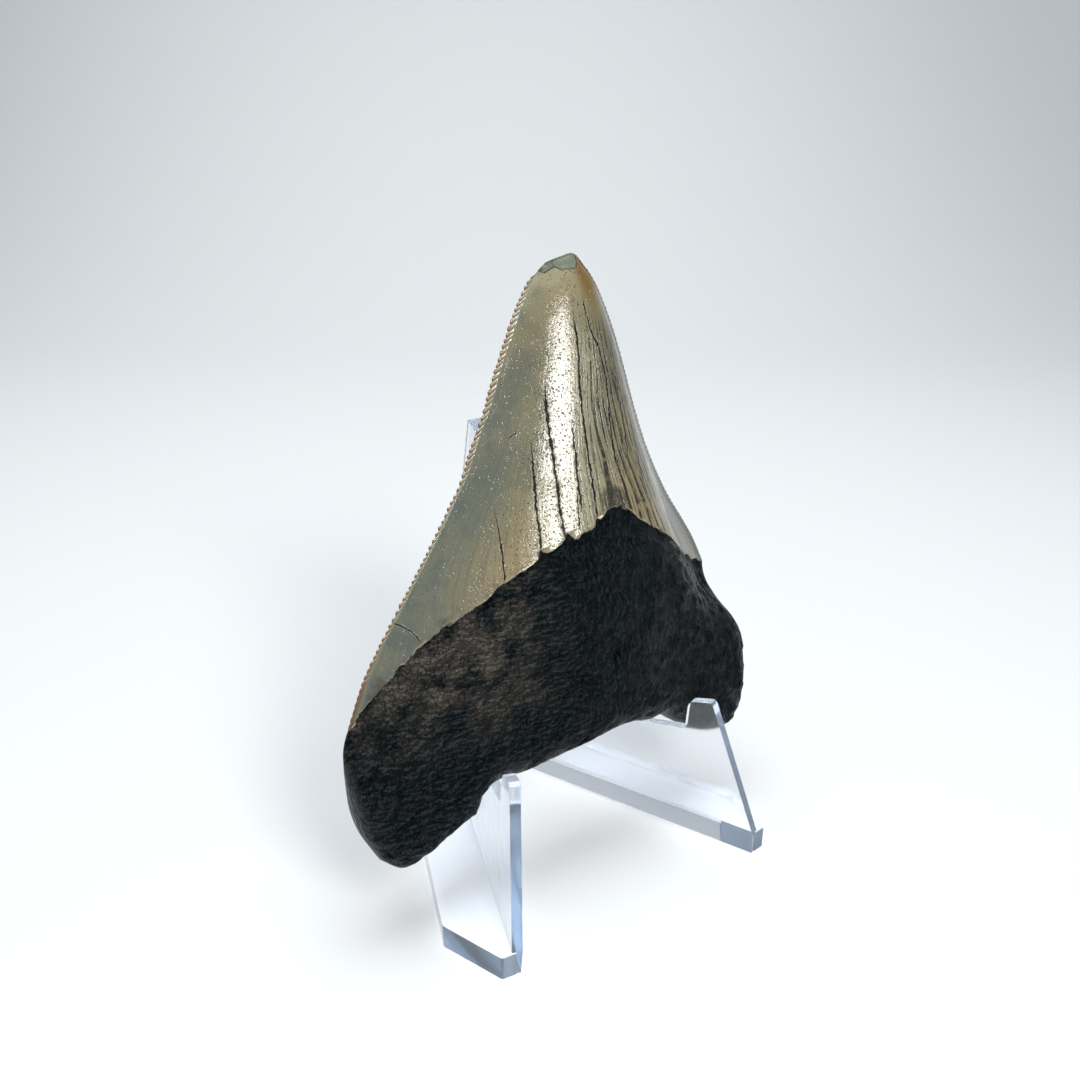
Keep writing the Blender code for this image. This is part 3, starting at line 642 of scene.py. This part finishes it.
def clouded_enamel(graph, at):
    """Enamel colour before its marks: grey-green flank, tan middle, warm towards the root, amber tip."""
    patches = graph.noise(at.place, 0.16, 3.0, 0.55)
    colour = graph.mix(graph.ramp(patches, 0.38, 0.62), (0.138, 0.136, 0.080), (0.216, 0.186, 0.102))
    left_flank = graph.product(graph.ramp(at.spread, -0.05, -0.6), graph.ramp(at.v, 50.0, 32.0, 0.35, 1.0))
    colour = graph.tint(colour, left_flank, 0.7, (0.108, 0.126, 0.106))
    warm = graph.product(graph.ramp(at.border, 12.0, 0.5), graph.ramp(at.spread, -0.75, -0.2))
    colour = graph.tint(colour, warm, 0.55, (0.330, 0.245, 0.125))
    smudge = graph.product(graph.ramp(graph.noise(at.place, 0.5, 3.0, 0.6), 0.55, 0.72),
                           graph.ramp(at.spread, 0.1, 0.4))
    colour = graph.tint(colour, smudge, 0.65, (0.060, 0.064, 0.048))
    colour = graph.tint(colour, graph.ramp(at.v, 51.0, 58.0), 0.6, (0.330, 0.315, 0.205))
    toast = graph.product(graph.ramp(at.v, 47.0, 54.0), graph.ramp(at.spread, -0.9, -0.5))
    colour = graph.tint(colour, toast, 0.5, (0.205, 0.158, 0.078))
    amber = graph.product(graph.ramp(at.v, 52.0, 57.5), graph.ramp(at.u, 12.4, 14.2))
    colour = graph.tint(colour, amber, 0.9, (0.150, 0.088, 0.016))
    middle = graph.product(graph.ramp(at.spread, -0.22, -0.05), graph.ramp(at.spread, 0.42, 0.12),
                           graph.ramp(at.v, 56.0, 48.0))
    colour = graph.tint(colour, middle, 0.6, (0.335, 0.318, 0.215))
    mottle = graph.product(graph.ramp(graph.noise(at.place, 0.30, 4.0, 0.6), 0.44, 0.62),
                           graph.ramp(at.spread, -0.35, -0.70))
    return graph.tint(colour, mottle, 0.66, (0.092, 0.108, 0.094))


def line_marks(graph, at):
    """Mask of the fine upright lines, most of them on the right half, none on the wing."""
    right = graph.math("MULTIPLY_ADD", graph.ramp(at.spread, -0.05, 0.30), 0.88, 0.12)
    left_low = graph.product(graph.ramp(at.border, 12.0, 4.0, 0.0, 0.2), graph.ramp(at.spread, -0.75, -0.45))
    lined = graph.product(graph.math("MAXIMUM", right, left_low), graph.ramp(at.v, 57.0, 47.0),
                          graph.ramp(at.wing, 0.0, -0.02), graph.math("MULTIPLY_ADD", at.front, 0.65, 0.35))
    wide = fine_lines(graph, at.spread, at.v, 19.0, 2.0)
    narrow = graph.math("MULTIPLY", fine_lines(graph, at.spread, at.v, 41.0, 9.0), 0.75)
    broken = graph.ramp(at.grit, 0.30, 0.46, 0.45, 1.0)
    return graph.product(graph.math("MAXIMUM", wide, narrow), lined, broken)


def speck_marks(graph, at):
    """Mask of scattered specks, and of the freckles that crowd in the middle of the front."""
    speck = graph.product(graph.ramp(graph.cells(at.place, 2.3), 0.24, 0.12),
                          graph.ramp(graph.noise(at.place, 0.8, 1.0), 0.42, 0.60))
    freckle = graph.product(graph.ramp(graph.cells(at.place, 2.1), 0.34, 0.20),
                            graph.ramp(graph.noise(at.place, 1.1, 3.0), 0.46, 0.56))
    zone = graph.product(graph.ramp(at.spread, -0.50, -0.25, 0.15, 1.0),
                         graph.ramp(at.spread, 0.40, 0.15, 0.2, 1.0), at.front)
    return graph.math("MAXIMUM", speck, graph.product(freckle, zone))


def crack_marks(graph, at):
    """Masks of the cracks, which are all on the front, and of their pale crumbled lips."""
    wander = graph.noise(graph.stretch(at.place, (0.25, 0.8, 0.0)), 1.0, 5.0, 0.6)
    wander = graph.math("SUBTRACT", wander, 0.5)
    swell = graph.noise(graph.stretch(at.place, (0.6, 0.9, 0.0)), 1.0, 4.0, 0.65)
    swell = graph.ramp(swell, 0.35, 0.68, 0.40, 1.45)
    gap = FAR_OFF
    for crack in CRACKS:
        gap = graph.math("MINIMUM", gap, crack_gap(graph, (at.u, at.v), wander, swell, crack))
    gap = graph.math("MAXIMUM", gap, graph.ramp(at.front, 0.6, 0.4, 0.0, FAR_OFF))
    lip = graph.product(graph.ramp(gap, 2.6, 1.6), graph.ramp(gap, 1.0, 1.4), graph.ramp(at.grit, 0.42, 0.58))
    return graph.ramp(gap, 1.0, 0.55), lip


def blade_colour(graph, at, colour):
    """A pale grey band of painted reflection, then pale serrations with orange-brown outlines; also the
    outlines' mask.
    """
    # painted reflection: the pale grey-blue band along the blades stands in for the room's reflection in the
    # enamel there
    colour = graph.tint(colour, graph.ramp(at.edge, 2.6, 0.8), 0.5, (0.205, 0.225, 0.190))
    row = graph.product(graph.ramp(at.edge, 1.7, 1.0), graph.ramp(at.border, 0.3, 1.5))
    pale = graph.product(graph.ramp(at.bead, 0.3, 0.85), row)
    colour = graph.tint(colour, pale, 0.7, (0.36, 0.31, 0.19))
    between = graph.product(graph.ramp(at.bead, 0.72, 0.20), graph.ramp(at.edge, 1.4, 0.7))
    outlines = graph.product(graph.math("MAXIMUM", between, graph.ramp(at.edge, 0.30, 0.10)), row)
    return graph.tint(colour, outlines, 0.9, (0.150, 0.072, 0.016)), outlines


def border_colour(graph, at, colour):
    """The enamel's pale edge, partly painted highlight of its lit rim, brown stains beside it, and a dark
    halo over its highest point.
    """
    # partly painted highlight: the pale edge stands in partly for the light caught by the enamel's rim
    lip = graph.product(graph.ramp(at.border, 0.50, 0.15),
                        graph.ramp(graph.noise(at.place, 0.7, 2.0), 0.40, 0.60))
    colour = graph.tint(colour, lip, 0.7, (0.36, 0.30, 0.19))
    stain = graph.product(graph.ramp(at.border, 2.6, 0.0),
                          graph.ramp(graph.noise(at.place, 0.45, 3.0), 0.5, 0.66))
    colour = graph.tint(colour, stain, 0.6, (0.050, 0.034, 0.018))
    away = [graph.math("POWER", graph.math("DIVIDE", graph.math("SUBTRACT", value, middle), reach), 2.0)
            for value, middle, reach in zip((at.u, at.v), HALO_AT, HALO_REACH)]
    halo = graph.product(graph.ramp(graph.math("ADD", *away), 1.0, 0.25), at.front,
                         graph.ramp(at.grit, 0.25, 0.55, 0.6, 1.0))
    return graph.tint(colour, halo, 0.85, (0.024, 0.020, 0.013))


def root_grain(graph, at):
    """The root's coarse grain, its ridges (lying left, standing right) and the mask of their sides that get
    painted highlight.
    """
    streaks = graph.noise(graph.stretch(at.place, (2.2, 0.55, 1.4)), 1.0, 5.0, 0.65)
    lumps = graph.noise(graph.stretch(at.place, GRAIN_STRETCH), 1.25, 5.0, 0.62)
    coarse = graph.blend(graph.ramp(at.u, 2.0, 16.0, 0.0, 0.75), lumps, streaks)
    towards = graph.add("VectorMath", {0: at.place, 1: PAINTED_LIGHT_SHIFT}, operation="ADD").outputs[0]
    upright = graph.ramp(at.u, -6.0, 6.0)
    lying, standing = (
        [graph.noise(graph.stretch(where, shape), 1.15, 5.0, 0.62) for where in (at.place, towards)]
        for shape in (RIDGES_LYING, RIDGES_STANDING))
    ridges, shifted = (graph.blend(upright, a, b) for a, b in zip(lying, standing))
    return coarse, ridges, graph.ramp(graph.math("SUBTRACT", ridges, shifted), -0.04, 0.16)


def root_colour(graph, at, painted_lit_side):
    """Near black, greyer on one side of its ridges as painted highlight, brown in patches that are stronger
    on those painted sides.
    """
    # painted highlight: one side of every ridge is painted greyer, as if lit; the brown patches follow it too
    colour = graph.mix(painted_lit_side, (0.0008, 0.0034, 0.0050), (0.0270, 0.0370, 0.0420))
    colour = graph.mix(graph.ramp(at.spread, -0.2, 0.5, 0.0, 0.5), colour, (0.0060, 0.0100, 0.0120))
    left = graph.product(graph.ramp(at.u, 0.0, -14.0), graph.ramp(at.v, 0.0, 10.0))
    brown = graph.product(graph.ramp(graph.noise(at.place, 0.25, 5.0, 0.65), 0.36, 0.64), left,
                          graph.ramp(painted_lit_side, 0.1, 0.9, 0.34, 0.88))
    colour = graph.mix(brown, colour, (0.172, 0.146, 0.120))
    rust = graph.ramp(graph.noise(at.place, 0.32, 4.0, 0.6), 0.58, 0.72)
    return graph.tint(colour, rust, 0.25, (0.030, 0.020, 0.014))


def enamel_relief(graph, at, marks):
    """Height of the enamel's skin, in mm: a fine peel and dents, with its marks cut in."""
    height = graph.product(graph.noise(at.place, 3.0, 3.0, 0.6),
                           graph.ramp(at.spread, -0.55, -0.20, 0.012, 0.034))
    height = graph.lift(height, graph.noise(at.place, 0.7, 1.0), 0.02)
    dents = graph.product(graph.ramp(graph.cells(at.place, 1.5), 0.26, 0.10),
                          graph.ramp(graph.noise(at.place, 0.5, 2.0), 0.40, 0.62),
                          graph.ramp(at.spread, -0.55, -0.20, 0.3, 1.0))
    height = graph.lift(height, dents, -0.06)
    for mask, amount in ((marks.specks, -0.05), (marks.lines, -0.02),
                         (marks.crack_lips, 0.03), (marks.cracks, -0.20)):
        height = graph.lift(height, mask, amount)
    return height


def root_relief(graph, at, coarse, ridges):
    """Height of the root's crust, in mm: grain, winding grooves, pores and ridges."""
    grain_place = graph.stretch(at.place, GRAIN_STRETCH)
    grooves = graph.math("ABSOLUTE", graph.math("SUBTRACT", graph.noise(grain_place, 0.95, 2.0, 0.5), 0.5))
    height = graph.lift(graph.math("MULTIPLY", coarse, 1.7), graph.ramp(grooves, 0.0, 0.10), 0.30)
    height = graph.lift(height, graph.ramp(graph.cells(grain_place, 1.5), 0.35, 0.05), -0.22)
    return graph.lift(height, ridges, 0.9)


def tooth_material():
    """Glossy grey-tan enamel with cracks and pits over a near-black fibrous root."""
    graph = Graph("fossil_tooth_surface")
    at = tooth_fields(graph)
    marks = SimpleNamespace(lines=line_marks(graph, at), specks=speck_marks(graph, at))
    marks.cracks, marks.crack_lips = crack_marks(graph, at)

    colour = graph.mix(marks.lines, clouded_enamel(graph, at), (0.014, 0.011, 0.006))
    colour = graph.tint(colour, marks.specks, 0.7, (0.040, 0.030, 0.016))
    colour = graph.tint(colour, marks.crack_lips, 0.35, (0.36, 0.32, 0.22))
    colour = graph.mix(marks.cracks, colour, (0.006, 0.0055, 0.005))
    colour, outlines = blade_colour(graph, at, colour)
    # painted sheen: the wing facet is painted pale grey for the light its turned face catches; it also has no
    # fine lines
    colour = graph.tint(colour, graph.ramp(at.wing, -0.004, 0.012), 0.75, (0.145, 0.156, 0.148))
    colour = graph.mix(graph.ramp(at.chip, 0.45, 0.9), colour, (0.150, 0.168, 0.118))
    chip_ring = graph.product(graph.ramp(at.chip, 0.02, 0.30), graph.ramp(at.chip, 0.85, 0.50))
    colour = graph.tint(colour, chip_ring, 0.85, (0.035, 0.030, 0.018))
    colour = border_colour(graph, at, colour)

    # the third mask marks where the root's ridges are painted paler, as painted highlight
    coarse, ridges, painted_lit_side = root_grain(graph, at)
    colour = graph.mix(at.enamel, root_colour(graph, at, painted_lit_side), colour)
    height = graph.blend(at.enamel, root_relief(graph, at, coarse, ridges), enamel_relief(graph, at, marks))
    normal = graph.bump(height, 1.0)
    roughness = graph.blend(at.enamel, graph.math("MULTIPLY_ADD", coarse, 0.16, 0.18),
                            graph.math("MULTIPLY_ADD", graph.noise(at.place, 1.4, 3.0), 0.16, 0.36))

    # the gloss: less at the chipped tip, none in cracks, little on specks and outlines, none on the root
    gloss = graph.product(graph.math("SUBTRACT", 0.95, graph.math("MULTIPLY", marks.cracks, 0.95)),
                          graph.ramp(at.v, 58.5, 55.5, 0.15, 1.0))
    bare = graph.math("MULTIPLY", graph.math("MAXIMUM", marks.specks, outlines), 0.8)
    coat = graph.product(at.enamel, gloss, graph.math("SUBTRACT", 1.0, bare))
    shader = graph.add("BsdfPrincipled", {
        "Base Color": colour, "Roughness": roughness, "Normal": normal, "Specular IOR Level": 0.14,
        "Coat Weight": coat, "Coat Roughness": 0.085, "Coat IOR": 1.7, "Coat Normal": normal})
    return graph.finish(shader)


def stand_material():
    """Clear polystyrene with a faint blue in its depth."""
    graph = Graph("clear_plastic_surface")
    coordinates = graph.add("TexCoord", {}).outputs["Object"]
    waves = graph.noise(coordinates, 180.0, 2.0)
    shader = graph.add("BsdfPrincipled", {
        "Base Color": (*PLASTIC_TINT, 1.0), "Roughness": 0.10, "IOR": PLASTIC_IOR,
        "Transmission Weight": 1.0, "Normal": graph.bump(waves, 0.02)})
    depth = graph.add("VolumeAbsorption", {"Color": (*PLASTIC_DEPTH, 1.0), "Density": PLASTIC_DENSITY})
    return graph.finish(shader, depth)


def floor_material():
    """Pale matt sweep with a painted pool of light round the object and painted shade further out, and a weak
    glow, painted light, that lightens its shadows.
    """
    graph = Graph("studio_sweep")
    coordinates = graph.add("TexCoord", {}).outputs["Object"]
    fleck = graph.noise(coordinates, 40.0, 2.0)
    colour = graph.mix(fleck, tuple(0.99 * c for c in FLOOR_COLOUR), FLOOR_COLOUR)
    across_up = graph.add("SeparateXYZ", {0: coordinates})
    side = graph.math("DIVIDE", graph.math("ADD", across_up.outputs["X"], PAINTED_POOL_SHIFT), PAINTED_POOL_REACH[0])
    high = graph.math("DIVIDE", across_up.outputs["Z"], PAINTED_POOL_REACH[1])
    away = graph.math("ADD", graph.math("MULTIPLY", side, side), graph.math("MULTIPLY", high, high))
    # painted shade: the sweep's colour darkens away from the painted pool of light
    shade = graph.mix(graph.ramp(away, -0.9, 1.25), (1.0, 1.0, 1.0), FLOOR_PAINTED_SHADE)
    colour = graph.mix(1.0, colour, shade, "MULTIPLY")
    # painted light: the sweep glows in its own colour to lighten its shadows
    shader = graph.add("BsdfPrincipled", {
        "Base Color": colour, "Roughness": 0.75, "Specular IOR Level": 0.2,
        "Emission Color": colour, "Emission Strength": FLOOR_PAINTED_GLOW})
    return graph.finish(shader)


# ---- stage -------------------------------------------------------------------------------------------
def make_sweep():
    """A floor that curves up into a backdrop."""
    profile = [(SWEEP_FRONT, 0.0), (SWEEP_BACK - SWEEP_RADIUS, 0.0)]
    for step in range(1, 17):
        angle = math.pi / 2 * step / 16
        profile.append((SWEEP_BACK - SWEEP_RADIUS + SWEEP_RADIUS * math.sin(angle),
                        SWEEP_RADIUS * (1 - math.cos(angle))))
    profile.append((SWEEP_BACK, SWEEP_TOP))
    shape = bmesh.new()
    sides = [[shape.verts.new((x * MM, y * MM, z * MM)) for y, z in profile]
             for x in (-SWEEP_HALF, SWEEP_HALF)]
    for index in range(len(profile) - 1):
        shape.faces.new((sides[0][index], sides[1][index], sides[1][index + 1], sides[0][index + 1]))
    mesh = bpy.data.meshes.new("studio_sweep")
    shape.to_mesh(mesh)
    shape.free()
    mesh.shade_smooth()
    sweep = bpy.data.objects.new("studio_sweep", mesh)
    bpy.context.scene.collection.objects.link(sweep)
    sweep.rotation_euler = (0.0, 0.0, math.radians(SWEEP_TURN))
    sweep.location.z = -FLOOR_GAP * MM
    mesh.materials.append(floor_material())


def direction(azimuth, elevation):
    """A unit vector from the object, from its front towards +X and up."""
    az = math.radians(azimuth)
    el = math.radians(elevation)
    return Vector((math.sin(az) * math.cos(el), -math.cos(az) * math.cos(el), math.sin(el)))


def make_lights():
    """Soft panels round the object, and a pale world."""
    for name, azimuth, elevation, distance, size, power, colour in LIGHTS:
        lamp = bpy.data.lights.new(name, "AREA")
        lamp.shape = "RECTANGLE"
        lamp.size = size[0] * MM
        lamp.size_y = size[1] * MM
        lamp.energy = power
        lamp.color = colour
        light = bpy.data.objects.new(name, lamp)
        away = direction(azimuth, elevation)
        light.location = Vector((0.0, 0.0, LIGHTS_AIM_Z * MM)) + away * distance * MM
        light.rotation_euler = away.to_track_quat("Z", "Y").to_euler()
        bpy.context.scene.collection.objects.link(light)
    world = bpy.data.worlds.new("pale_room")
    bpy.context.scene.world = world
    world.use_nodes = True
    background = world.node_tree.nodes["Background"]
    background.inputs["Color"].default_value = (*WORLD_COLOUR, 1.0)
    background.inputs["Strength"].default_value = WORLD_STRENGTH


def make_camera():
    """The photograph's point of view."""
    data = bpy.data.cameras.new("camera")
    data.lens = CAMERA_LENS
    data.sensor_width = SENSOR
    data.clip_start = 0.005
    camera = bpy.data.objects.new("camera", data)
    camera.location = Vector(CAMERA_AT) * MM
    away = Vector(CAMERA_AT) - Vector(CAMERA_TARGET)
    camera.rotation_euler = away.to_track_quat("Z", "Y").to_euler()
    bpy.context.scene.collection.objects.link(camera)
    bpy.context.scene.camera = camera


# ---- putting it together -------------------------------------------------------------------------------
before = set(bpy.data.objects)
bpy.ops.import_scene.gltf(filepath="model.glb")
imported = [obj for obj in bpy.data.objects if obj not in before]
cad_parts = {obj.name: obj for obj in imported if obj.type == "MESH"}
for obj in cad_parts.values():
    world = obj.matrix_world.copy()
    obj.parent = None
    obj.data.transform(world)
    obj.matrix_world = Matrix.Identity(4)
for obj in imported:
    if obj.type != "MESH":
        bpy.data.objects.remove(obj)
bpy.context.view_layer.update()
bpy.context.scene.view_settings.view_transform = "Standard"
light_paths = bpy.context.scene.cycles
light_paths.max_bounces = BOUNCES
light_paths.transmission_bounces = BOUNCES
light_paths.glossy_bounces = BOUNCES
light_paths.diffuse_bounces = 8
light_paths.blur_glossy = 0.0            # blurring would darken the floor below the clear feet

tooth = make_tooth()
tooth.data.materials.append(tooth_material())
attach(tooth, "root")
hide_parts("megalodon_tooth")

stand = make_stand(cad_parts["display_stand"])
stand.data.materials.append(stand_material())
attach(stand, "root")
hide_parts("display_stand")

make_sweep()
make_lights()
make_camera()
